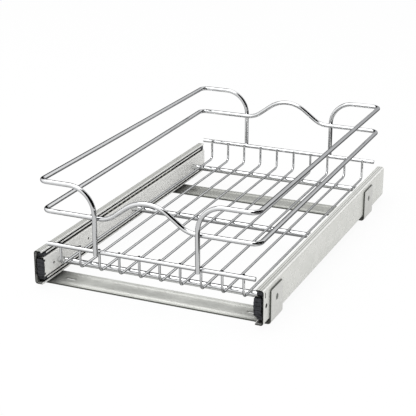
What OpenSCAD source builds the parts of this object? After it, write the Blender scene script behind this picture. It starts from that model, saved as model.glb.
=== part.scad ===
// Pull-out cabinet basket: a chromed wire shelf that rides out of a cupboard on two
// three-part ball-bearing slides, which two pressed steel braces tie together.
// Millimetres. Z is up and the front looks along -Y. The origin lies under the middle of the unit,
// on the surface that the braces stand on.

/* [Slides] */
// Width over the outer faces of the two slides
span_w = 309.2; // [260:0.2:420]
// Length of a slide
slide_len = 500; // [420:5:600]
// Height of a slide
slide_h = 45; // [44:0.5:48]
// Thickness of a slide, from the outer web to the inner web
slide_t = 12.7; // [12.5:0.1:14]
// How far the basket pulls out; it also places the ball cages
travel = 440; // [300:5:450]
// Sheet thickness of the outer and inner members
sheet_t = 1.5; // [1.3:0.1:1.6]
// Sheet thickness of the intermediate member
mid_sheet_t = 1.4; // [1.2:0.1:1.5]
// Bend radius on the outside of the outer member
outer_bend = 3.5; // [2.5:0.1:4]
// Bend radius on the outside of the intermediate member
mid_bend = 2.6; // [2:0.1:3]
// Bend radius on the outside of the inner member
inner_bend = 2; // [1.7:0.1:2.5]
// Distance from the inner web's face back to the edge of the outer member's flanges
outer_edge_back = 1.9; // [1.6:0.1:2.4]
// Distance from the inner web's face back to the edge of the intermediate member's flanges
mid_edge_back = 2.1; // [1.8:0.1:2.6]
// Width of the hem along each flange edge
hem_w = 0.8; // [0.5:0.1:1]
// Height of the hem along each flange edge
hem_h = 0.5; // [0.3:0.1:0.6]
// Distance between the outer member's front end and the intermediate member's
mid_front = 12; // [10.5:0.5:14]
// Distance between the intermediate member's rear end and the outer member's
mid_rear = 12; // [12:0.5:16]
// Distance between the outer member's front end and the inner member's
inner_front = 3; // [2.5:0.5:5]
// Distance between the inner member's rear end and the outer member's
inner_rear = 2; // [1.5:0.5:5]

/* [Balls and cages] */
// Ball diameter
ball_d = 3.6; // [3.5:0.05:3.7]
// Depth that a ball sits in each raceway
ball_seat = 0.2; // [0.1:0.05:0.25]
// Distance from the outer web's face to the middle of the balls
ball_in = 7.2; // [6.9:0.1:7.5]
// Running clearance round a ball
ball_gap = 0.15; // [0.1:0.01:0.2]
// Gap between a web and the cage beside it
web_gap = 0.25; // [0.2:0.01:0.3]
// Sheet thickness of the cages
cage_t = 0.6; // [0.5:0.05:0.7]
// Outer bend radius of the cages
cage_bend = 1.2; // [0.9:0.1:1.4]
// Ball spacing in the inner cages
inner_ball_spacing = 13.2; // [12:0.1:14]
// Balls in each row of an inner cage
inner_count = 16; // [10:1:18]
// Ball spacing in the outer cages
outer_ball_spacing = 23; // [16:0.5:26]
// Balls in each row of an outer cage
outer_count = 10; // [6:1:12]
// Length of cage beyond its last ball
cage_end = 8.5; // [6:0.5:10]
// Distance that a cage keeps from the end of its raceway when the slide is out
cage_stop_gap = 3; // [1:0.5:6]
// Width of the edge strip along an inner cage
cage_rim_w = 0.8; // [0.6:0.1:1]
// Gap above and below that edge strip
cage_rim_gap = 0.25; // [0.2:0.01:0.3]
// Length of each window in the edge strip
cage_window = 8.8; // [4:0.1:9.5]

/* [Stops and plugs] */
// Play round a plastic piece in its channel
plug_play = 0.05; // [0.02:0.01:0.1]
// Length of an end plug inside the inner member
plug_stem = 10; // [6:0.5:14]
// Thickness of an end plug's head in front of the inner member
plug_head = 2.2; // [1.5:0.1:2.4]
// Height of an end plug's head
plug_head_h = 22.6; // [20:0.1:24]
// How far the inner side of the head bulges
plug_bulge = 0.9; // [0.5:0.1:1.1]
// Distance from the outer web's face to the back of the head
plug_back = 3.2; // [2.8:0.1:4]
// Distance from the inner web's face to the straight side of the head
plug_side_back = 0.3; // [0.1:0.1:0.6]
// Number of grip ribs across the head
plug_ribs = 4; // [2:1:5]
// Height of a grip rib
plug_rib_h = 1.6; // [1:0.1:2]
// Depth of the grooves between the grip ribs
plug_rib_deep = 0.7; // [0.4:0.1:1]
// Length of the bumper in front of the intermediate member
bumper_t = 6.5; // [5:0.5:7.5]
// Length of the bumper's legs inside the intermediate member
bumper_leg = 12; // [8:1:16]
// Gap between the bumper's face and the outer web
bumper_web_gap = 0.7; // [0.5:0.1:0.9]
// Thickness of the bumper's face beside the web
bumper_web = 2.4; // [1.5:0.1:2.6]
// Thickness of the rear stop beside the web
stop_web = 3; // [2:0.1:3]
// Gap that a stop or bumper keeps round the inner member
stop_gap = 0.3; // [0.25:0.01:0.4]
// Gap between the rear stop and the intermediate member, when the basket is in
stop_rest_gap = 1; // [0.5:0.1:1.2]
// Length of the rear stop
stop_len = 10; // [8:0.1:10.8]

/* [Slide holes] */
// Diameter of the round hole at the front of the outer member
outer_hole_d = 6; // [4:0.5:7]
// Distance of that hole from the front end
outer_hole_y = 9.5; // [8:0.5:12]
// Width of the lanced slot above it
lance_w = 2; // [1:0.5:3]
// Length of the lanced slot
lance_h = 7; // [4:0.5:8]
// Distance of the lanced slot from the front end
lance_y = 6; // [5:0.5:10]
// Height of the lanced slot above the slide's mid-height
lance_up = 14.5; // [13:0.5:15]
// Diameter of the screw holes in the inner member
inner_hole_d = 4; // [3:0.5:5]
// Distance from the slide's front end to the first screw hole
inner_hole_y = 26.5; // [24:0.5:30]
// Distance between the screw holes
inner_hole_spacing = 90; // [60:1:120]
// Drop of the screw holes below the slide's mid-height
inner_hole_drop = 1.6; // [0:0.1:3]
// Side of the small notches at the front corners of the inner web
notch = 3; // [1:0.5:3.5]
// Distance between the notches
notch_span = 18; // [16:1:19]
// Width of the stamped line behind the notches
stamp_w = 0.6; // [0.4:0.1:1]
// Depth of the stamped line
stamp_deep = 0.2; // [0.1:0.05:0.4]
// Distance of the stamped line from the inner member's front end
stamp_y = 5; // [3:0.5:8]
// Radius of the rolled lines along the outer member's flanges
roll_r = 0.6; // [0.4:0.1:0.8]
// Depth of the rolled lines
roll_deep = 0.25; // [0.1:0.05:0.3]
// Distance between the two rolled lines
roll_step = 3.4; // [2.5:0.1:4]

/* [Braces] */
// Sheet thickness of a brace
strap_t = 2; // [1.5:0.1:2.5]
// Width of a brace
strap_w = 39; // [30:1:46]
// Gap between the underside of the slides and the top of the braces
strap_gap = 4.5; // [3:0.5:7]
// Distance from the slides' front end to the middle of the front brace
brace_front = 40; // [32:1:60]
// Distance from the middle of the rear brace to the slides' rear end
brace_rear = 83; // [40:1:110]
// Height of a brace's tab above the underside of the slides
tab_rise = 37.5; // [30:0.5:41]
// Inner bend radius between a brace and its tabs
tab_bend = 2.5; // [1:0.1:3]
// Corner radius at the top of a tab
tab_corner = 2.5; // [1:0.5:5]
// Width of a pressed rib in a brace
rib_w = 7; // [5:0.5:8]
// Height of a pressed rib
rib_h = 1.6; // [1:0.1:2]
// Distance from the brace's edge to the middle of a rib
rib_in = 7; // [5:0.5:9]
// Distance from the slides' inner faces to the end of a rib
rib_end = 6; // [4:1:12]
// Length of a screw slot in a brace
slot_len = 16; // [10:0.5:20]
// Width of a screw slot
slot_w = 5; // [4:0.5:6]
// Distance from the slides' inner faces to the middle of a screw slot
slot_in = 16; // [12:0.5:30]
// Shank diameter of a rivet
rivet_d = 4; // [3:0.5:5]
// Head diameter of a rivet
rivet_head_d = 8; // [6:0.5:10]
// Head height of a rivet
rivet_head_h = 0.8; // [0.5:0.1:1.2]

/* [Basket floor] */
// Diameter of the cross rods that carry the floor
rod_d = 8; // [6:0.5:9]
// Drop of the cross rods below the slides' mid-height
rod_drop = 2.3; // [0:0.1:4]
// Distance from the slides' front end to the front cross rod
rod_front = 40.3; // [36:0.1:60]
// Distance from the rear cross rod to the slides' rear end
rod_rear = 46.5; // [44:0.1:70]
// Diameter of the floor wires
wire_d = 3.2; // [2.5:0.1:4]
// Distance from a bar's end to the first floor wire
wire_in = 16.65; // [10:0.05:25]
// Height of a wire's tip above the middle of the bar
tip_rise = 2; // [0.5:0.1:2.5]
// Bend radius at both ends of a floor wire
wire_bend = 7; // [4:0.5:10]
// Diameter of the front and rear bars
bar_d = 5.5; // [4.5:0.1:7]
// Height of the bars above the top of the slides
bar_rise = 8.2; // [6:0.1:14]
// Gap between a bar's end and the slide beside it
bar_end_gap = 1.5; // [1:0.1:4]
// Distance from the slides' front end to the front bar
bar_front = 10.2; // [9:0.1:16]
// Distance from the rear bar to the slides' rear end
bar_rear = 7.8; // [4:0.1:16]
// Depth that welded wires sink into each other
weld_bite = 0.2; // [0.1:0.05:0.4]

/* [Basket rails] */
// Diameter of the rails and hoops
rail_d = 6; // [5:0.1:7]
// How far the rails' side runs stand outside the slides' inner faces
rail_over = 1.95; // [0:0.05:6]
// Bend radius at the corners of the rails
rail_corner = 10; // [7:0.5:16]
// Height of the middle rail above the bars, halfway along
mid_rail_rise = 46.3; // [36:0.1:52]
// Slope of the middle rail, which rises to the rear
mid_rail_slope = 0.55; // [0:0.05:0.8]
// Height of a hump's sharp corner, before it is rounded
hump_peak = 40.2; // [32:0.1:44]
// Half width of a hump at its foot
hump_half = 53.6; // [50:0.1:55]
// Bend radius on top of a hump
hump_top_bend = 47; // [38:1:48]
// Bend radius at the foot of a hump
hump_foot_bend = 35; // [20:1:36]
// Height of the hoops above the bars
hoop_rise = 84.3; // [78:0.1:100]
// Bend radius at the top of a hoop's posts
hoop_bend = 34; // [20:1:36]
// Floor wires between the nearer side and the wire that a post stands on
post_wire = 2; // [1:1:3]

/* [Hidden] */
$fn = 64;
sides = [-1, 1];
// How far a cut runs past what it cuts
cut_over = 1;
// Floor wires, each a node of its own
wire_count = 10;

// Heights, measured from the underside of the braces
slide_z = strap_t + strap_gap;
axis_z = slide_z + slide_h / 2;
rod_z = axis_z - rod_drop;
floor_z = rod_z + (rod_d + wire_d) / 2 - weld_bite;
bar_z = slide_z + slide_h + bar_rise;
hoop_z = bar_z + hoop_rise;
mid_rail_z = bar_z + mid_rail_rise;

// Places along the slides, measured from their front end
mid_back = slide_len - mid_rear;
inner_back = slide_len - inner_rear;
bar_back = slide_len - bar_rear;
rod_back = slide_len - rod_rear;
rod_mid = (rod_front + rod_back) / 2;
post_step = (bar_d + rail_d) / 2 - weld_bite;
rail_step = rail_d - weld_bite;
wire_step = (bar_d + wire_d) / 2 - weld_bite;
hoop_y = [bar_front - post_step, bar_back + post_step];
unit_len = max(slide_len, hoop_y[1] + rail_d / 2);
front = -unit_len / 2;

// Places across the unit
inner_face = span_w / 2 - slide_t;
bar_half = inner_face - bar_end_gap;
wire_half = bar_half - wire_in;
wire_pitch = 2 * wire_half / (wire_count - 1);
post_x = wire_half - post_wire * wire_pitch;
rail_x = inner_face + rail_over;

// Slide section: s runs inward from the outer web's face, h up from the slide's mid-height
outer_in_h = slide_h / 2 - sheet_t;
outer_ball_h = outer_in_h - ball_d / 2 + ball_seat;
mid_h = outer_ball_h - ball_d / 2 + ball_seat;
mid_in_h = mid_h - mid_sheet_t;
inner_ball_h = mid_in_h - ball_d / 2 + ball_seat;
inner_h = inner_ball_h - ball_d / 2 + ball_seat;
outer_cage_s = sheet_t + web_gap;
mid_s = outer_cage_s + cage_t + web_gap;
inner_cage_s = mid_s + mid_sheet_t + web_gap;
inner_s = inner_cage_s + cage_t + web_gap;
inner_web_s = slide_t - sheet_t;
outer_edge = slide_t - outer_edge_back;
mid_edge = slide_t - mid_edge_back;
cage_edge = mid_edge - hem_w - web_gap;
ball_hole_d = ball_d + 2 * ball_gap;

// Cages end where their raceways overlap at full travel
outer_cage_len = (outer_count - 1) * outer_ball_spacing + 2 * cage_end;
outer_cage_back = mid_back - travel / 4 - cage_stop_gap;
inner_cage_len = (inner_count - 1) * inner_ball_spacing + 2 * cage_end;
inner_cage_back = inner_back - travel / 4 - cage_stop_gap;

bar_tone = [0.86, 0.87, 0.88];
slide_tone = [0.8, 0.8, 0.77];
web_tone = [0.84, 0.84, 0.8];
strap_tone = [0.69, 0.7, 0.67];
cage_tone = [0.24, 0.25, 0.21];
ball_tone = [0.75, 0.76, 0.78];
plastic_tone = [0.09, 0.09, 0.1];

// Wire as a bending machine makes it. Each step feeds the wire along +X, rolls it about its own
// axis and bends it towards its own +Y: [feed, roll, bend radius, bend angle], or a last [feed].
module bent_wire(steps, d, i = 0) {
  if (i < len(steps)) {
    feed = steps[i][0];
    if (feed > 0)
      rotate([0, 90, 0])
        cylinder(h = feed, d = d);
    if (len(steps[i]) > 1)
      translate([feed, 0, 0])
        rotate([steps[i][1], 0, 0])
          translate([0, steps[i][2], 0]) {
            rotate([0, 0, -90])
              rotate_extrude(angle = steps[i][3])
                translate([steps[i][2], 0])
                  circle(d = d);
            rotate([0, 0, steps[i][3]])
              translate([0, -steps[i][2], 0])
                bent_wire(steps, d, i + 1);
          }
  }
}

// Puts a profile drawn in s and h, or a piece drawn in s, y and h, on the left or right slide
module on_slide(side) {
  translate([side * span_w / 2, front, axis_z])
    scale([-side, 1, 1])
      children();
}

// Runs a profile in s and h along the slide
module along(from, to) {
  translate([0, to, 0])
    rotate([90, 0, 0])
      linear_extrude(to - from)
        children();
}

// Block with two round corners on its low-s side; s from s0 to s1, h from -half to half
module round_block(s0, s1, half, r) {
  translate([s0 + r, -half])
    square([s1 - s0 - r, 2 * half]);
  translate([s0, r - half])
    square([r, 2 * (half - r)]);
  for (up = sides)
    translate([s0 + r, up * (half - r)])
      circle(r = r);
}

// Channel of bent sheet, open towards the inside of the unit
module channel(s0, s1, half, t, r) {
  difference() {
    round_block(s0, s1, half, r);
    round_block(s0 + t, s1 + t, half - t, r - t);
  }
}

module raceways(h) {
  for (up = sides)
    translate([ball_in, up * h])
      circle(d = ball_hole_d);
}

// Hems that thicken a channel's flange edges on their inner side
module hems(edge, in_h) {
  for (up = sides)
    translate([edge - hem_w, up > 0 ? in_h - hem_h : -in_h])
      square([hem_w, hem_h]);
}

module ball_row(h, count, pitch, back) {
  for (up = sides, i = [0:count - 1])
    translate([ball_in, back - cage_end - i * pitch, up * h])
      children();
}

// Cuts a round hole through a web whose outer face lies at s
module web_hole(s, y, h, d) {
  translate([s - cut_over, y, h])
    rotate([0, 90, 0])
      cylinder(h = sheet_t + 2 * cut_over, d = d);
}

// Outer member: the channel that the braces' tabs hold
module outer_member(side) {
  color(slide_tone)
    on_slide(side)
      difference() {
        along(0, slide_len) {
          difference() {
            channel(0, outer_edge, slide_h / 2, sheet_t, outer_bend);
            raceways(outer_ball_h);
            for (up = sides, k = sides)
              translate([ball_in + k * roll_step / 2, up * (slide_h / 2 + roll_r - roll_deep)])
                circle(r = roll_r);
          }
          hems(outer_edge, outer_in_h);
        }
        web_hole(0, outer_hole_y, 0, outer_hole_d);
        translate([-cut_over, lance_y - lance_w / 2, lance_up - lance_h / 2])
          cube([sheet_t + 2 * cut_over, lance_w, lance_h]);
        for (y = [brace_front, slide_len - brace_rear])
          web_hole(0, y, 0, rivet_d);
      }
}

// Rear stop: plastic cushion that the intermediate member closes against
module rear_stop(side) {
  color(plastic_tone)
    on_slide(side)
      along(mid_back + stop_rest_gap, mid_back + stop_rest_gap + stop_len)
        stop_profile(sheet_t + plug_play, outer_edge - hem_w - plug_play, outer_in_h - plug_play,
          outer_bend - sheet_t, sheet_t + plug_play + stop_web);
}

// C shape round the inner member, with its closed side from s0 to web_s
module stop_profile(s0, s1, half, r, web_s) {
  difference() {
    round_block(s0, s1, half, r);
    translate([web_s, -inner_h - stop_gap])
      square([s1, 2 * (inner_h + stop_gap)]);
  }
}

// Cage of the outer ball rows
module outer_cage(side) {
  color(cage_tone)
    on_slide(side)
      difference() {
        along(outer_cage_back - outer_cage_len, outer_cage_back)
          channel(outer_cage_s, cage_edge, outer_ball_h + cage_t / 2, cage_t, cage_bend);
        ball_row(outer_ball_h, outer_count, outer_ball_spacing, outer_cage_back)
          cylinder(h = ball_d, d = ball_hole_d, center = true);
      }
}

module outer_balls(side) {
  color(ball_tone)
    on_slide(side)
      ball_row(outer_ball_h, outer_count, outer_ball_spacing, outer_cage_back)
        sphere(d = ball_d);
}

// Intermediate member: balls run on both sides of its flanges
module mid_member(side) {
  color(slide_tone)
    on_slide(side)
      along(mid_front, mid_back) {
        difference() {
          channel(mid_s, mid_edge, mid_h, mid_sheet_t, mid_bend);
          raceways(outer_ball_h);
          raceways(inner_ball_h);
        }
        hems(mid_edge, mid_in_h);
      }
}

// Front bumper: plastic cap on the intermediate member's front end
module front_bumper(side) {
  face_s = sheet_t + bumper_web_gap;
  leg_s = mid_s + mid_bend + plug_play;
  leg_low = inner_h + stop_gap;
  leg_high = mid_in_h - plug_play;
  color(plastic_tone)
    on_slide(side) {
      along(mid_front - bumper_t, mid_front)
        stop_profile(face_s, mid_edge, mid_h, mid_bend, face_s + bumper_web);
      for (up = sides)
        translate([leg_s, mid_front, up > 0 ? leg_low : -leg_high])
          cube([mid_edge - hem_w - plug_play - leg_s, bumper_leg, leg_high - leg_low]);
    }
}

// Cage of the inner ball rows, with a windowed strip along each edge
module inner_cage(side) {
  rim_s = mid_edge - cage_rim_w - web_gap;
  rim_low = inner_h + cage_rim_gap;
  rim_high = mid_in_h - hem_h - cage_rim_gap;
  color(cage_tone)
    on_slide(side)
      difference() {
        along(inner_cage_back - inner_cage_len, inner_cage_back) {
          channel(inner_cage_s, mid_edge - cage_rim_w, inner_ball_h + cage_t / 2, cage_t, cage_bend);
          for (up = sides)
            translate([rim_s, up > 0 ? rim_low : -rim_high])
              square([cage_rim_w, rim_high - rim_low]);
        }
        ball_row(inner_ball_h, inner_count, inner_ball_spacing, inner_cage_back)
          cylinder(h = ball_d, d = ball_hole_d, center = true);
        for (up = sides, i = [0:inner_count - 2])
          translate([rim_s - cut_over,
            inner_cage_back - cage_end - (i + 1 / 2) * inner_ball_spacing - cage_window / 2,
            up > 0 ? inner_ball_h - ball_d / 2 : cage_t / 2 - inner_ball_h])
            cube([cage_rim_w + 2 * cut_over, cage_window, (ball_d - cage_t) / 2]);
      }
}

module inner_balls(side) {
  color(ball_tone)
    on_slide(side)
      ball_row(inner_ball_h, inner_count, inner_ball_spacing, inner_cage_back)
        sphere(d = ball_d);
}

// Inner member: the basket is welded to its web
module inner_member(side) {
  color(web_tone)
    on_slide(side)
      difference() {
        along(inner_front, inner_back)
          difference() {
            translate([slide_t, 0])
              scale([-1, 1])
                channel(0, slide_t - inner_s, inner_h, sheet_t, inner_bend);
            raceways(inner_ball_h);
          }
        for (y = [inner_hole_y, inner_hole_y + inner_hole_spacing])
          web_hole(inner_web_s, y, -inner_hole_drop, inner_hole_d);
        for (up = sides)
          translate([inner_web_s - cut_over, inner_front - cut_over, (up * notch_span - notch) / 2])
            cube([sheet_t + 2 * cut_over, notch + cut_over, notch]);
        translate([slide_t - stamp_deep, inner_front + stamp_y, -notch_span / 2])
          cube([stamp_deep + cut_over, stamp_w, notch_span]);
      }
}

// End plug: ribbed plastic stopper in the front of the inner member
module end_plug(side) {
  head_back = inner_front;
  head_s = slide_t - plug_side_back;
  bulge_r = pow(plug_head_h, 2) / (8 * plug_bulge) + plug_bulge / 2;
  stem_half = inner_h - inner_bend - plug_play;
  rib_step = (plug_head_h - plug_rib_h) / plug_ribs;
  color(plastic_tone)
    on_slide(side) {
      difference() {
        along(head_back - plug_head, head_back)
          intersection() {
            translate([plug_back, -plug_head_h / 2])
              square([slide_t, plug_head_h]);
            translate([head_s + plug_bulge - bulge_r, 0])
              circle(r = bulge_r, $fn = 4 * $fn);
          }
        for (i = [0:plug_ribs - 1])
          translate([0, head_back - plug_head - cut_over, plug_rib_h - plug_head_h / 2 + i * rib_step])
            cube([slide_t + cut_over, plug_rib_deep + cut_over, rib_step - plug_rib_h]);
      }
      translate([inner_s + sheet_t, head_back, -stem_half])
        cube([inner_web_s - inner_s - sheet_t - plug_play, plug_stem, 2 * stem_half]);
    }
}

// Raised rib with round ends, of ball section r, whose top stands up above the sheet
module brace_rib(r, half, y, up) {
  translate([0, y, up - r]) {
    rotate([0, 90, 0])
      cylinder(h = 2 * half, r = r, center = true);
    for (k = sides)
      translate([k * half, 0, 0])
        sphere(r = r);
  }
}

// Brace: pressed strap under the slides, bent up outside them at both ends
module brace(y) {
  bend_out = tab_bend + strap_t;
  flat_half = span_w / 2 - tab_bend;
  rib_r = pow(rib_w, 2) / (8 * rib_h) + rib_h / 2;
  rib_half = inner_face - rib_end - rib_w / 2;
  slot_x = inner_face - slot_in;
  tab_top = slide_z + tab_rise;
  color(strap_tone)
    translate([0, front + y, 0]) {
      difference() {
        union() {
          translate([-flat_half, -strap_w / 2, 0])
            cube([2 * flat_half, strap_w, strap_t]);
          intersection() {
            for (k = sides)
              brace_rib(rib_r, rib_half, k * (strap_w / 2 - rib_in), strap_t + rib_h);
            translate([-span_w / 2, -strap_w / 2, 0])
              cube([span_w, strap_w, strap_t + rib_h]);
          }
        }
        for (k = sides)
          brace_rib(rib_r - strap_t, rib_half, k * (strap_w / 2 - rib_in), rib_h);
        for (k = sides) {
          translate([k * slot_x - (slot_len - slot_w) / 2, -slot_w / 2, -cut_over])
            cube([slot_len - slot_w, slot_w, strap_t + 2 * cut_over]);
          for (e = sides)
            translate([k * slot_x + e * (slot_len - slot_w) / 2, 0, -cut_over])
              cylinder(h = strap_t + 2 * cut_over, d = slot_w);
        }
      }
      for (k = sides)
        scale([k, 1, 1]) {
          translate([flat_half, strap_w / 2, bend_out])
            rotate([90, 0, 0])
              linear_extrude(strap_w)
                difference() {
                  intersection() {
                    circle(r = bend_out);
                    translate([0, -bend_out])
                      square(bend_out);
                  }
                  circle(r = tab_bend);
                }
          difference() {
            translate([span_w / 2, 0, 0])
              rotate([90, 0, 90])
                linear_extrude(strap_t) {
                  translate([-strap_w / 2, bend_out])
                    square([strap_w, tab_top - bend_out - tab_corner]);
                  translate([tab_corner - strap_w / 2, bend_out])
                    square([strap_w - 2 * tab_corner, tab_top - bend_out]);
                  for (e = sides)
                    translate([e * (strap_w / 2 - tab_corner), tab_top - tab_corner])
                      circle(r = tab_corner);
                }
            translate([span_w / 2 - cut_over, 0, axis_z])
              rotate([0, 90, 0])
                cylinder(h = strap_t + 2 * cut_over, d = rivet_d);
          }
        }
    }
}

// Rivets: low-headed, through each tab and the outer member's web
module brace_rivets() {
  dome_r = pow(rivet_head_d, 2) / (8 * rivet_head_h) + rivet_head_h / 2;
  color(strap_tone)
    for (side = sides, y = [brace_front, slide_len - brace_rear])
      on_slide(side)
        translate([0, y, 0])
          rotate([0, -90, 0])
            rotate_extrude() {
              translate([0, -sheet_t])
                square([rivet_d / 2, sheet_t + strap_t]);
              intersection() {
                translate([0, strap_t + rivet_head_h - dome_r])
                  circle(r = dome_r, $fn = 4 * $fn);
                translate([0, strap_t])
                  square([rivet_head_d / 2, rivet_head_h]);
              }
            }
}

// Cross rod: butt welded between the two inner members
module cross_rod(y) {
  color(bar_tone)
    translate([-inner_face, front + y, rod_z])
      rotate([0, 90, 0])
        cylinder(h = 2 * inner_face, d = rod_d);
}

// Floor wire: down behind the front bar, flat over the rods, and up in front of the rear bar
module floor_wire(i) {
  leg = bar_z + tip_rise - floor_z - wire_bend;
  run = bar_back - bar_front - 2 * (wire_step + wire_bend);
  color(bar_tone)
    translate([i * wire_pitch - wire_half, front + bar_front + wire_step, bar_z + tip_rise])
      rotate([0, 90, 0])
        bent_wire([[leg, 0, wire_bend, 90], [run, 0, wire_bend, 90], [leg]], wire_d);
}

module bar(y) {
  color(bar_tone)
    translate([-bar_half, front + y, bar_z])
      rotate([0, 90, 0])
        cylinder(h = 2 * bar_half, d = bar_d);
}

// Middle rail: one closed loop inside the posts, with a hump over the front and over the rear
module middle_rail() {
  slope = atan(hump_peak / hump_half);
  flank = hump_half / cos(slope) - hump_top_bend * tan(slope) - hump_foot_bend * tan(slope / 2);
  run = rail_x - rail_corner - hump_half - hump_foot_bend * tan(slope / 2);
  side_half = (hoop_y[1] - hoop_y[0]) / 2 - rail_step - rail_corner;
  color(bar_tone)
    translate([0, front + (hoop_y[0] + hoop_y[1]) / 2, mid_rail_z])
      rotate([mid_rail_slope, 0, 0])
        for (half = [0, 180])
          rotate([0, 0, half])
            translate([-rail_x, 0, 0])
              rotate([0, 0, -90])
                bent_wire([
                    [side_half, 0, rail_corner, 90],
                    [run, 90, hump_foot_bend, slope],
                    [flank, 180, hump_top_bend, 2 * slope],
                    [flank, 180, hump_foot_bend, slope],
                    [run, -90, rail_corner, 90],
                    [side_half]
                  ], rail_d);
}

// Side hoop: two posts outside the bars, joined by a top rail that turns out over the slide
module side_hoop(side) {
  leg = hoop_z - bar_z + bar_d / 2 - hoop_bend;
  run = rail_x - post_x - hoop_bend - rail_corner;
  color(bar_tone)
    scale([side, 1, 1])
      translate([post_x, front + hoop_y[0], bar_z - bar_d / 2])
        rotate([-90, -90, 0])
          bent_wire([
              [leg, 0, hoop_bend, 90],
              [run, 90, rail_corner, 90],
              [hoop_y[1] - hoop_y[0] - 2 * rail_corner, 0, rail_corner, 90],
              [run, -90, hoop_bend, 90],
              [leg]
            ], rail_d);
}

outer_member(-1);  // outer_member_left
outer_member(1);  // outer_member_right
rear_stop(-1);  // rear_stop_left
rear_stop(1);  // rear_stop_right
outer_cage(-1);  // outer_cage_left
outer_cage(1);  // outer_cage_right
outer_balls(-1);  // outer_balls_left
outer_balls(1);  // outer_balls_right
mid_member(-1);  // mid_member_left
mid_member(1);  // mid_member_right
front_bumper(-1);  // front_bumper_left
front_bumper(1);  // front_bumper_right
inner_cage(-1);  // inner_cage_left
inner_cage(1);  // inner_cage_right
inner_balls(-1);  // inner_balls_left
inner_balls(1);  // inner_balls_right
inner_member(-1);  // inner_member_left
inner_member(1);  // inner_member_right
end_plug(-1);  // end_plug_left
end_plug(1);  // end_plug_right
brace(brace_front);  // front_brace
brace(slide_len - brace_rear);  // rear_brace
brace_rivets();
cross_rod(rod_front);  // cross_rod_front
cross_rod(rod_mid);  // cross_rod_middle
cross_rod(rod_back);  // cross_rod_rear
floor_wire(0);  // floor_wire_1
floor_wire(1);  // floor_wire_2
floor_wire(2);  // floor_wire_3
floor_wire(3);  // floor_wire_4
floor_wire(4);  // floor_wire_5
floor_wire(5);  // floor_wire_6
floor_wire(6);  // floor_wire_7
floor_wire(7);  // floor_wire_8
floor_wire(8);  // floor_wire_9
floor_wire(9);  // floor_wire_10
bar(bar_front);  // front_bar
bar(bar_back);  // rear_bar
middle_rail();
side_hoop(-1);  // side_hoop_left
side_hoop(1);  // side_hoop_right
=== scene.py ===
"""Pull-out cabinet basket: finishes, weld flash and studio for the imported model."""

import math

import bmesh
import bpy
from mathutils import Matrix, Vector


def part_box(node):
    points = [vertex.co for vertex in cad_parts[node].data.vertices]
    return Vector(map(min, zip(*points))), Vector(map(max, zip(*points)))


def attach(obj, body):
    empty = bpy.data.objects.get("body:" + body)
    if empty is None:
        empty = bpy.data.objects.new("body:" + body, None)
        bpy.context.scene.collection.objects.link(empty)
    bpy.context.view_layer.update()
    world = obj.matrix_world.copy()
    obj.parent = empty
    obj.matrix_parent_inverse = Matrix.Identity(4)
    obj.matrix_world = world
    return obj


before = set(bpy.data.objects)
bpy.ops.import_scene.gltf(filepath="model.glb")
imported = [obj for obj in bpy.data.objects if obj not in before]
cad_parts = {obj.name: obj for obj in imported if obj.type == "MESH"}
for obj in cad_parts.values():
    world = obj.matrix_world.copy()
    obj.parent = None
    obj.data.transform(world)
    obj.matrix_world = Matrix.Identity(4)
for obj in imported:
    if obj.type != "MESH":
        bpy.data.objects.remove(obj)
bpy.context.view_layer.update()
MM = 0.001


# Outer members: cold-rolled steel channels, roll formed and then bright zinc plated. Zinc gives a
# pale, faintly warm grey with a soft gloss, and rolling leaves long streaks along the channel.
def linear(code):
    """Turns an sRGB hex colour into the linear colour that a shader socket takes."""
    parts = [int(code[i:i + 2], 16) / 255 for i in (1, 3, 5)]
    return [c / 12.92 if c <= 0.04045 else ((c + 0.055) / 1.055) ** 2.4 for c in parts] + [1.0]


def add(tree, kind, sockets=None, **settings):
    """Adds one node with its settings; a socket takes a value, or another node's output."""
    node = tree.nodes.new("ShaderNode" + kind)
    for name, value in settings.items():
        setattr(node, name, value)
    for name, value in (sockets or {}).items():
        if isinstance(value, bpy.types.NodeSocket):
            tree.links.new(value, node.inputs[name])
        else:
            node.inputs[name].default_value = value
    return node


def set_stops(ramp, stops):
    """Gives a colour ramp its stops, each a position from 0 to 1 and an sRGB hex colour."""
    elements = ramp.color_ramp.elements
    for index, (position, code) in enumerate(stops):
        element = elements[index] if index < 2 else elements.new(position)
        element.position = position
        element.color = linear(code)


def start_finish(name):
    """Makes an empty material and gives its tree and the coordinates that ride with a piece."""
    material = bpy.data.materials.new(name)
    material.use_nodes = True
    tree = material.node_tree
    tree.nodes.clear()
    return material, tree, add(tree, "TexCoord").outputs["Object"]


def close_finish(tree, shader):
    """Shows the tree's last shader on the surface."""
    add(tree, "OutputMaterial", {"Surface": shader.outputs[0]})


def per_mm(size):
    """Texture scale, in patterns per metre, for a pattern of this size in millimetres."""
    return 1000 / size


def dress(node, material):
    """Gives a CAD node its finish and leaves its shape alone."""
    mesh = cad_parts[node].data
    mesh.materials.clear()
    mesh.materials.append(material)


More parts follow.
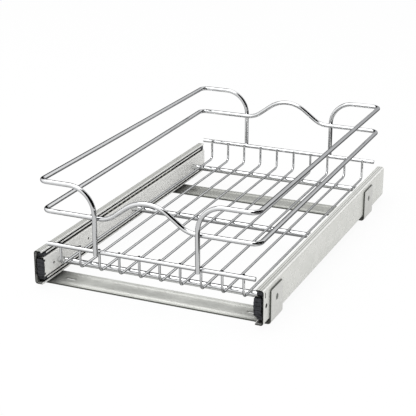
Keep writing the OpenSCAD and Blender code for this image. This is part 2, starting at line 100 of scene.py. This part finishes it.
def zinc_plate(name, pale, dull, rough, streak_mm, metal, highlight_mm, flange=()):
    """Zinc-plated sheet with faint rolling streaks, streak_mm across and 60 times as long.

    The sheared ends, which face along the slide, are bare steel, coloured very dark as painted
    shade. Near the unit's middle, within the distance given in mm, the plate is painted almost
    white and made less metallic, a painted highlight on the lips; beyond it, where ambient
    occlusion finds the channels sheltered, it is painted very dark as painted shade. The stops in
    flange are distances from the middle in mm, each with the colour painted on the flange's
    outside there: painted shading along its rolled beads and a painted highlight at its edges.
    """
    streak_length, bloom_mm, fade_mm, shade_reach_mm = 60, 25, 0.6, 9
    highlight_share, highlight_metal = 0.8, 0.05
    band_from, band_to = 140, 160
    material, tree, place = start_finish(name)
    across = per_mm(streak_mm)
    stretched = add(tree, "Mapping", {"Vector": place,
                                      "Scale": (across, across / streak_length, across)})
    streaks = add(tree, "TexNoise", {"Vector": stretched.outputs[0], "Scale": 1.0, "Detail": 3.0})
    bloom = add(tree, "TexNoise", {"Vector": place, "Scale": per_mm(bloom_mm), "Detail": 4.0})
    mixed = add(tree, "MixRGB", {"Fac": 0.6, "Color1": streaks.outputs["Fac"],
                                 "Color2": bloom.outputs["Fac"]})
    plate = add(tree, "ValToRGB", {"Fac": mixed.outputs[0]})
    set_stops(plate, ((0.38, dull), (0.6, pale)))
    facing = add(tree, "SeparateXYZ", {"Vector": add(tree, "TexCoord").outputs["Normal"]}).outputs
    # Sheared ends: bare steel, coloured very dark as painted shade.
    end_shade = add(tree, "Math", {0: facing["Y"]}, operation="ABSOLUTE")
    end_shade = add(tree, "MapRange", {"Value": end_shade.outputs[0], "From Min": 0.9, "From Max": 0.97})
    colour = add(tree, "MixRGB", {"Fac": end_shade.outputs[0], "Color1": plate.outputs[0],
                                  "Color2": linear("#1C1D1A")})
    gloss = add(tree, "MapRange", {"Value": bloom.outputs["Fac"], "From Min": 0.3, "From Max": 0.7,
                                   "To Min": rough - 0.04, "To Max": rough + 0.05})
    out = add(tree, "Math", {0: add(tree, "SeparateXYZ", {"Vector": place}).outputs["X"]},
              operation="ABSOLUTE")
    inside = add(tree, "MapRange", {"Value": out.outputs[0], "From Min": highlight_mm * MM,
                                    "From Max": (highlight_mm + fade_mm) * MM})
    # Painted highlight: near the unit's middle the lips are painted almost white and made less
    # metallic.
    rim = add(tree, "MapRange", {"Value": inside.outputs[0], "To Min": highlight_share, "To Max": 0.0})
    colour = add(tree, "MixRGB", {"Fac": rim.outputs[0], "Color1": colour.outputs[0],
                                  "Color2": linear("#FDFDFA")})
    # Painted shading and highlight: faces that look up or down take grey stripes for the rolled
    # beads and white at the flange's edges.
    if flange:
        upward = add(tree, "Math", {0: facing["Z"]}, operation="ABSOLUTE")
        upward = add(tree, "MapRange", {"Value": upward.outputs[0], "From Min": 0.3,
                                        "From Max": 0.6})
        band = add(tree, "MapRange", {"Value": out.outputs[0], "From Min": band_from * MM,
                                      "From Max": band_to * MM})
        bead_shading = add(tree, "ValToRGB", {"Fac": band.outputs[0]})
        set_stops(bead_shading, [((distance - band_from) / (band_to - band_from), tint)
                          for distance, tint in flange])
        colour = add(tree, "MixRGB", {"Fac": upward.outputs[0], "Color1": colour.outputs[0],
                                      "Color2": bead_shading.outputs[0]})
        rim = add(tree, "Math", {0: rim.outputs[0], 1: upward.outputs[0]}, operation="MAXIMUM")
    # Painted shade: ambient occlusion darkens the plate to very dark in the channels' recesses.
    occlusion_shade = add(tree, "AmbientOcclusion", {"Distance": shade_reach_mm * MM})
    recess_shade = add(tree, "MapRange", {"Value": occlusion_shade.outputs["AO"], "From Min": 0.35,
                                    "From Max": 0.9, "To Min": 1.0, "To Max": 0.0})
    recess_shade = add(tree, "Math", {0: recess_shade.outputs[0], 1: inside.outputs[0]},
                 operation="MULTIPLY")
    colour = add(tree, "MixRGB", {"Fac": recess_shade.outputs[0], "Color1": colour.outputs[0],
                                  "Color2": linear("#121310")})
    shine = add(tree, "MapRange", {"Value": rim.outputs[0], "From Max": highlight_share, "To Min": metal,
                                   "To Max": highlight_metal})
    close_finish(tree, add(tree, "BsdfPrincipled", {
        "Base Color": colour.outputs[0], "Metallic": shine.outputs[0],
        "Roughness": gloss.outputs[0]}))
    return material


# These stops paint grey stripes along the rolled beads as painted shading and white at the edges
# as painted highlight.
slide_zinc = zinc_plate("bright_zinc_plate", "#F8F8F3", "#EDEEE8", 0.26, 2.5, 0.3, 144.3, (
    (145.0, "#FDFDFA"), (145.8, "#9A9B97"), (147.0, "#D9DAD5"), (148.1, "#D2D3CE"),
    (148.9, "#8C8D89"), (149.9, "#DEDED9"), (151.1, "#CACBC6"), (152.0, "#91928E"),
    (152.9, "#DEDEDA"), (153.6, "#FDFDFA")))
for side in ("left", "right"):
    dress(f"outer_member_{side}", slide_zinc)

# Intermediate members: the same plated channel, smaller and a little glossier. Where they nest in
# the outer channel, their flanges are painted very dark as painted shade.
runner_zinc = zinc_plate("runner_zinc_plate", "#F0F0EC", "#E2E2DD", 0.22, 2.5, 0.4, 144.3)
for side in ("left", "right"):
    dress(f"mid_member_{side}", runner_zinc)

# Inner members: the same channel again, narrow and roll formed, with the web facing the basket.
# This plate is the least metallic of the three, for the even grey that the photograph shows.
web_zinc = zinc_plate("satin_zinc_plate", "#F6F5F0", "#ECEBE6", 0.3, 2.5, 0.15, 142.3)
for side in ("left", "right"):
    dress(f"inner_member_{side}", web_zinc)


# Ball cages: thin cold-rolled strip, punched for the balls and left unplated. Grease from the
# raceways stains it olive, in wet patches.
def greased_strip(name, cage):
    """Punched strip; its windows and its web are painted very dark as painted shade, and the
    bars between show the strip's olive stain.
    """
    low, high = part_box(cage)
    balls, ends = 16, 8.5 * MM
    pitch = (high.y - low.y - 2 * ends) / (balls - 1)
    web_half, bar_half, window_from = 12 * MM, 1.7 * MM, 2.5 * MM
    patch_mm = 5
    material, tree, place = start_finish(name)
    film = add(tree, "TexNoise", {"Vector": place, "Scale": per_mm(patch_mm), "Detail": 3.0})
    colour = add(tree, "ValToRGB", {"Fac": film.outputs["Fac"]})
    set_stops(colour, ((0.35, "#7F8172"), (0.65, "#A5A797")))
    spot = add(tree, "SeparateXYZ", {"Vector": place}).outputs
    # Painted shade: the web band and the windows between the bars are coloured very dark.
    web = add(tree, "Math", {0: spot["Z"], 1: (low.z + high.z) / 2, 2: web_half},
              operation="COMPARE")
    step = add(tree, "Math", {0: spot["Y"], 1: low.y + ends}, operation="SUBTRACT")
    step = add(tree, "Math", {0: step.outputs[0], 1: pitch / 2}, operation="PINGPONG")
    window = add(tree, "MapRange", {"Value": step.outputs[0], "From Min": bar_half,
                                    "From Max": window_from})
    black = add(tree, "Math", {0: window.outputs[0], 1: web.outputs[0]}, operation="MAXIMUM")
    colour = add(tree, "MixRGB", {"Fac": black.outputs[0], "Color1": colour.outputs[0],
                                  "Color2": linear("#10100E")})
    wet = add(tree, "MapRange", {"Value": film.outputs["Fac"], "From Min": 0.4, "From Max": 0.6,
                                 "To Min": 0.3, "To Max": 0.5})
    close_finish(tree, add(tree, "BsdfPrincipled", {
        "Base Color": colour.outputs[0], "Metallic": 0.3, "Roughness": wet.outputs[0]}))
    return material


for side in ("left", "right"):
    for run in ("outer", "inner"):
        cage = f"{run}_cage_{side}"
        dress(cage, greased_strip(f"greased_strip_{run}_{side}", cage))


# Balls: hardened chrome steel, ground and polished like a mirror, under a thin film of grease that
# breaks the mirror up a little.
def bearing_steel():
    """Mirror-bright steel that a film of grease dulls in patches."""
    patch_mm = 2
    material, tree, place = start_finish("polished_bearing_steel")
    film = add(tree, "TexNoise", {"Vector": place, "Scale": per_mm(patch_mm), "Detail": 2.0})
    wet = add(tree, "MapRange", {"Value": film.outputs["Fac"], "To Min": 0.04, "To Max": 0.2})
    close_finish(tree, add(tree, "BsdfPrincipled", {
        "Base Color": linear("#C9CBCE"), "Metallic": 1.0, "Roughness": wet.outputs[0]}))
    return material


ball_steel = bearing_steel()
for side in ("left", "right"):
    for run in ("outer", "inner"):
        dress(f"{run}_balls_{side}", ball_steel)


# End plugs, bumpers and rear stops: injection-moulded acetal, black right through. The mould's
# fine spark-eroded texture gives it a soft, even sheen.
def black_acetal():
    """Black plastic with a fine moulded grain, painted darker in its grooves as painted
    shade.
    """
    pore_mm, scuff_mm, groove_shade_mm = 0.35, 3, 2
    material, tree, place = start_finish("moulded_black_acetal")
    pores = add(tree, "TexNoise", {"Vector": place, "Scale": per_mm(pore_mm), "Detail": 3.0})
    scuffs = add(tree, "TexNoise", {"Vector": place, "Scale": per_mm(scuff_mm), "Detail": 4.0})
    # Painted shade: ambient occlusion darkens the grooves; the scuffs lighten the rest.
    occlusion_shade = add(tree, "AmbientOcclusion", {"Distance": groove_shade_mm * MM})
    open_share = add(tree, "Math", {0: occlusion_shade.outputs["AO"], 1: scuffs.outputs["Fac"]},
                     operation="MULTIPLY")
    colour = add(tree, "ValToRGB", {"Fac": open_share.outputs[0]})
    set_stops(colour, ((0.22, "#0E0E10"), (0.52, "#3A3B40")))
    sheen = add(tree, "MapRange", {"Value": scuffs.outputs["Fac"], "To Min": 0.3, "To Max": 0.5})
    bump = add(tree, "Bump", {"Height": pores.outputs["Fac"], "Strength": 0.35,
                              "Distance": 0.05 * MM})
    close_finish(tree, add(tree, "BsdfPrincipled", {
        "Base Color": colour.outputs[0], "Roughness": sheen.outputs[0], "IOR": 1.48,
        "Normal": bump.outputs[0]}))
    return material


acetal = black_acetal()
for side in ("left", "right"):
    for part in ("end_plug", "front_bumper", "rear_stop"):
        dress(f"{part}_{side}", acetal)


# Braces and rivets: thicker strip, pressed and bent, with a dull zinc coat. It is a darker and
# greener grey than the slides, with drawing marks along its length, which runs across the unit.
def galvanised_strap(name, pale, dull, tab_shading_tone, rough, strap_y, strap_half):
    """Galvanised strip with drawing marks along X; its sheared outer edges are bare steel,
    coloured dark as painted shade.

    The coat is painted darker toward the slides, as painted shade from them, and the faces as
    far out as the tabs bent up against them take a tone of their own: painted light on the
    brace tabs and painted shade on the rivet heads.
    """
    mark_mm, mark_length, cloud_mm = 2.2, 50, 28
    shade_from, shade_to = 98 * MM, 142 * MM
    tab_from, tab_to = 154.9 * MM, 155.3 * MM
    strap_top, edge_in = 20 * MM, 1 * MM
    material, tree, place = start_finish(name)
    across = per_mm(mark_mm)
    stretched = add(tree, "Mapping", {"Vector": place,
                                      "Scale": (across / mark_length, across, across)})
    drawn = add(tree, "TexNoise", {"Vector": stretched.outputs[0], "Scale": 1.0, "Detail": 4.0})
    cloud = add(tree, "TexNoise", {"Vector": place, "Scale": per_mm(cloud_mm), "Detail": 4.0})
    mixed = add(tree, "MixRGB", {"Fac": 0.5, "Color1": drawn.outputs["Fac"],
                                 "Color2": cloud.outputs["Fac"]})
    coat = add(tree, "ValToRGB", {"Fac": mixed.outputs[0]})
    set_stops(coat, ((0.36, dull), (0.64, pale)))
    facing = add(tree, "SeparateXYZ", {"Vector": add(tree, "TexCoord").outputs["Normal"]}).outputs
    spot = add(tree, "SeparateXYZ", {"Vector": place}).outputs
    out = add(tree, "Math", {0: spot["X"]}, operation="ABSOLUTE").outputs[0]
    # Painted shade: the coat darkens toward the slides, as under their shadow.
    shade = add(tree, "MapRange", {"Value": out, "From Min": shade_from, "From Max": shade_to,
                                   "To Max": 0.62})
    coat = add(tree, "MixRGB", {"Fac": shade.outputs[0], "Color1": coat.outputs[0],
                                "Color2": linear("#1E1F1C")})
    # Faces beyond the tabs' inner face take the given tone: painted light on the brace tabs,
    # painted shade on the rivet heads.
    tab_shading = add(tree, "MapRange", {"Value": out, "From Min": tab_from, "From Max": tab_to,
                                 "To Max": 0.85})
    coat = add(tree, "MixRGB", {"Fac": tab_shading.outputs[0], "Color1": coat.outputs[0],
                                "Color2": linear(tab_shading_tone)})
    # Sheared edges and the tabs' top rims: bare steel, coloured dark as painted shade.
    raised = add(tree, "Math", {0: spot["Z"], 1: strap_top}, operation="GREATER_THAN")
    rim = add(tree, "Math", {0: facing["Z"], 1: raised.outputs[0]}, operation="MULTIPLY")
    inward = add(tree, "Math", {0: spot["Y"], 1: strap_y, 2: strap_half - edge_in},
                 operation="COMPARE")
    edge = add(tree, "Math", {0: facing["Y"]}, operation="ABSOLUTE")
    edge = add(tree, "Math", {0: edge.outputs[0], 1: inward.outputs[0]}, operation="SUBTRACT")
    edge = add(tree, "Math", {0: rim.outputs[0], 1: edge.outputs[0]}, operation="MAXIMUM")
    edge = add(tree, "MapRange", {"Value": edge.outputs[0], "From Min": 0.6, "From Max": 0.8})
    colour = add(tree, "MixRGB", {"Fac": edge.outputs[0], "Color1": coat.outputs[0],
                                  "Color2": linear("#62645E")})
    gloss = add(tree, "MapRange", {"Value": cloud.outputs["Fac"], "From Min": 0.3, "From Max": 0.7,
                                   "To Min": rough - 0.05, "To Max": rough + 0.06})
    bump = add(tree, "Bump", {"Height": drawn.outputs["Fac"], "Strength": 0.12,
                              "Distance": 0.05 * MM})
    close_finish(tree, add(tree, "BsdfPrincipled", {
        "Base Color": colour.outputs[0], "Metallic": 0.3, "Roughness": gloss.outputs[0],
        "Normal": bump.outputs[0]}))
    return material


# The rear brace takes darker colours of the same coat, as painted shade.
for node, pale, dull in (("front_brace", "#EDEEE9", "#DEDFDA"),
                         ("rear_brace", "#BEBFBA", "#B1B2AD")):
    low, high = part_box(node)
    dress(node, galvanised_strap(f"dull_galvanised_{node}", pale, dull, "#F8F8F4", 0.46,
                                 (low.y + high.y) / 2, (high.y - low.y) / 2))
# The rivet heads are painted dark grey as painted shade of their domes.
low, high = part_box("brace_rivets")
dress("brace_rivets", galvanised_strap("shade_darkened_rivet_steel", "#A3A5A0", "#8C8E89", "#7A7C77", 0.3,
                                       (low.y + high.y) / 2, high.y - low.y))


# Basket wires, rods, bars and rails: drawn mild steel wire, welded up and then nickel and chrome
# plated as one. Chrome mirrors the studio, with faint waviness left by the drawing, and its colour
# is painted darker at grazing angles as a painted dark reflection on the wires' edges.
def chrome_plate():
    """Chrome that mirrors its surroundings, with a faint haze and a faint wave."""
    haze_mm, wave_mm = 14, 18
    material, tree, place = start_finish("polished_chrome_plate")
    haze = add(tree, "TexNoise", {"Vector": place, "Scale": per_mm(haze_mm), "Detail": 4.0})
    gloss = add(tree, "MapRange", {"Value": haze.outputs["Fac"], "From Min": 0.35, "From Max": 0.7,
                                   "To Min": 0.03, "To Max": 0.08})
    # Painted reflection: the colour darkens toward the wires' edges.
    grazing_shade = add(tree, "LayerWeight", {"Blend": 0.5})
    colour = add(tree, "ValToRGB", {"Fac": grazing_shade.outputs["Facing"]})
    set_stops(colour, ((0.32, "#F1F2F3"), (0.75, "#5A5C60")))
    wave = add(tree, "TexNoise", {"Vector": place, "Scale": per_mm(wave_mm), "Detail": 2.0})
    bump = add(tree, "Bump", {"Height": wave.outputs["Fac"], "Strength": 0.06,
                              "Distance": 0.2 * MM})
    close_finish(tree, add(tree, "BsdfPrincipled", {
        "Base Color": colour.outputs[0], "Metallic": 1.0, "Roughness": gloss.outputs[0],
        "Normal": bump.outputs[0]}))
    return material


chrome = chrome_plate()
floor_wires = [f"floor_wire_{i}" for i in range(1, 11)]
cross_rods = ["cross_rod_front", "cross_rod_middle", "cross_rod_rear"]
bars = ["front_bar", "rear_bar"]
hoops = ["side_hoop_left", "side_hoop_right"]
for node in floor_wires + cross_rods + bars + hoops + ["middle_rail"]:
    dress(node, chrome)


# Weld flash: resistance welding squeezes a small collar of steel out round each crossing of two
# wires, and the chrome covers it. Each collar is a flat lens that lies in the crossing's plane.
def middle(node):
    """Gives the centre of a node's box."""
    low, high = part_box(node)
    return (low + high) / 2


def weld_flash(name, spots, across, thick):
    """One mesh of weld collars; a spot is its centre and the direction across the joint."""
    rings, steps = 6, 20
    fullness, unevenness = 0.7, 0.06
    turns = [math.tau * s / steps for s in range(steps)]
    bm = bmesh.new()
    for centre, normal in spots:
        aim = Vector((0, 0, 1)).rotation_difference(Vector(normal)).to_matrix().to_4x4()
        place = Matrix.Translation(centre) @ aim
        loops = []
        for r in range(1, rings):
            angle = math.pi * r / rings
            radius = across / 2 * math.sin(angle) ** fullness
            loops.append([
                bm.verts.new(place @ Vector((
                    radius * math.cos(turn) * (1 + unevenness * math.cos(3 * turn)),
                    radius * math.sin(turn),
                    thick / 2 * math.cos(angle)))) for turn in turns])
        for a, b in zip(loops, loops[1:]):
            for s in range(steps):
                bm.faces.new((a[s], b[s], b[(s + 1) % steps], a[(s + 1) % steps]))
        bm.faces.new(loops[0])
        bm.faces.new(reversed(loops[-1]))
    mesh = bpy.data.meshes.new(name)
    bm.to_mesh(mesh)
    bm.free()
    mesh.shade_smooth()
    piece = bpy.data.objects.new(name, mesh)
    bpy.context.scene.collection.objects.link(piece)
    mesh.materials.append(chrome)
    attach(piece, "basket")


rod_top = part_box("cross_rod_front")[1].z
weld_flash("floor_weld_flash",
           [((middle(wire).x, middle(rod).y, rod_top), (0, 0, 1))
            for wire in floor_wires for rod in cross_rods],
           across=4.2 * MM, thick=1.5 * MM)
wire_low, wire_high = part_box("floor_wire_1")
weld_flash("bar_weld_flash",
           [((middle(wire).x, y, middle(bar).z), (0, 1, 0))
            for wire in floor_wires
            for bar, y in (("front_bar", wire_low.y), ("rear_bar", wire_high.y))],
           across=3.6 * MM, thick=1.4 * MM)


# Studio: a white floor and surround, one wide soft lamp overhead, and dark panels and cards round
# the unit that only the metal sees, which give the chrome its dark lines.
def looking_rays(tree):
    """Gives the kinds of ray, and 1 on those that look at a thing rather than light it."""
    rays = add(tree, "LightPath").outputs
    looking = add(tree, "Math", {0: rays["Is Camera Ray"], 1: rays["Is Glossy Ray"]},
                  operation="MAXIMUM")
    looking = add(tree, "Math", {0: looking.outputs[0], 1: rays["Is Transmission Ray"]},
                  operation="MAXIMUM")
    return rays, looking.outputs[0]


def studio_sheet(name, points, faces, material):
    """Makes one sheet of the studio."""
    mesh = bpy.data.meshes.new(name)
    mesh.from_pydata(points, [], faces)
    mesh.materials.append(material)
    sheet = bpy.data.objects.new(name, mesh)
    bpy.context.scene.collection.objects.link(sheet)
    return sheet


def make_floor():
    """White paper that glows evenly where it is looked at and takes a faint shadow."""
    half = 12.0
    glow_share, mirrored_glow = 0.93, 0.58
    material, tree, _ = start_finish("white_sweep_paper")
    rays, looking = looking_rays(tree)
    share = add(tree, "Math", {0: looking, 1: glow_share}, operation="MULTIPLY")
    paper = add(tree, "BsdfDiffuse", {"Color": linear("#F4F4F4")})
    strength = add(tree, "MapRange", {"Value": rays["Is Glossy Ray"], "To Min": 1.0,
                                      "To Max": mirrored_glow})
    glow = add(tree, "Emission", {"Color": linear("#FFFFFF"), "Strength": strength.outputs[0]})
    close_finish(tree, add(tree, "MixShader", {0: share.outputs[0], 1: paper.outputs[0],
                                               2: glow.outputs[0]}))
    floor = studio_sheet("studio_floor", [(-half, -half, 0), (half, -half, 0), (half, half, 0),
                                          (-half, half, 0)], [(0, 1, 2, 3)], material)


make_floor()


def matt_finish(name, tone):
    """Plain matt material for the dark cards and panels."""
    material, tree, _ = start_finish(name)
    close_finish(tree, add(tree, "BsdfDiffuse", {"Color": linear(tone)}))
    return material


def show_to_metal_only(sheet):
    """Hides a sheet from the camera and from the light that falls on the unit."""
    sheet.visible_camera = False
    sheet.visible_diffuse = False
    sheet.visible_shadow = False


def floor_card(name, left, right, near, far, tone):
    """Card that lies on the floor for the metal to mirror; its edges are in metres."""
    height = 0.4 * MM
    card = studio_sheet(name, [(left, near, height), (right, near, height), (right, far, height),
                               (left, far, height)], [(0, 1, 2, 3)], matt_finish(name, tone))
    show_to_metal_only(card)


# The dark card at the right puts the grey side on the posts. The grey one under the unit is a
# painted shadow: it stands in for the shade under the unit on the undersides of the wires that
# run across.
floor_card("dark_side_card", 0.26, 2.2, -0.9, 1.3, "#404040")
floor_card("grey_under_card", -0.19, 0.155, -0.32, 0.27, "#8C8C8C")


def black_flags():
    """Curved panels on a ring round the unit, ring in metres.

    Each is a bearing from the rear, a width and two heights, all in degrees.
    """
    ring, steps = 3.2, 12
    panels = [(-43, 48, 0.5, 62), (-58, 50, 62, 76), (109, 134, 2, 76)]
    velvet = matt_finish("black_velvet_flag", "#101010")
    for k, (bearing, width, low, high) in enumerate(panels):
        points, faces = [], []
        for s in range(steps + 1):
            around = math.radians(bearing + width * (s / steps - 0.5))
            for height in (low, high):
                up = math.radians(height)
                points.append((ring * math.sin(around) * math.cos(up),
                               ring * math.cos(around) * math.cos(up), ring * math.sin(up)))
            if s:
                faces.append((2 * s - 2, 2 * s - 1, 2 * s + 1, 2 * s))
        flag = studio_sheet(f"black_flag_{k}", points, faces, velvet)
        show_to_metal_only(flag)


black_flags()

# Surround: white all round, and a little weaker where it lights the unit than where it is seen.
surround_light = 0.78
world = bpy.data.worlds.new("white_surround")
bpy.context.scene.world = world
world.use_nodes = True
sky = world.node_tree
sky.nodes.clear()
_, looking = looking_rays(sky)
level = add(sky, "MapRange", {"Value": looking, "To Min": surround_light, "To Max": 1.0})
back = add(sky, "Background", {"Color": (1, 1, 1, 1), "Strength": level.outputs[0]})
add(sky, "OutputWorld", {"Surface": back.outputs[0]})

# Lamp: one soft box of 2.4 x 1.8 m over the front left, turned to the unit.
lamp_data = bpy.data.lights.new("overhead_softbox", "AREA")
lamp_data.shape = "RECTANGLE"
lamp_data.size = 2.4
lamp_data.size_y = 1.8
lamp_data.energy = 28
lamp = bpy.data.objects.new("overhead_softbox", lamp_data)
bpy.context.scene.collection.objects.link(lamp)
lamp.location = (-0.5, -0.4, 2.3)
lamp.rotation_mode = "QUATERNION"
lamp.rotation_quaternion = Vector(lamp.location).to_track_quat("Z", "Y")

# Camera: a long lens from above the right front corner, as in the photograph. Its place, direction
# and lens were fitted to the photograph.
azimuth = math.radians(23.80)
elevation = math.radians(20.23)
lens = bpy.data.cameras.new("photo_camera")
lens.lens = 104.06
lens.sensor_width = 36.0
lens.clip_start = 0.05
lens.clip_end = 60.0
camera = bpy.data.objects.new("photo_camera", lens)
bpy.context.scene.collection.objects.link(camera)
camera.location = (0.60845, -1.43903, 0.62233)
back_along = Vector((math.sin(azimuth) * math.cos(elevation),
                     -math.cos(azimuth) * math.cos(elevation), math.sin(elevation)))
camera.rotation_mode = "QUATERNION"
camera.rotation_quaternion = back_along.to_track_quat("Z", "Y")
bpy.context.scene.camera = camera
bpy.context.scene.view_settings.view_transform = "Standard"
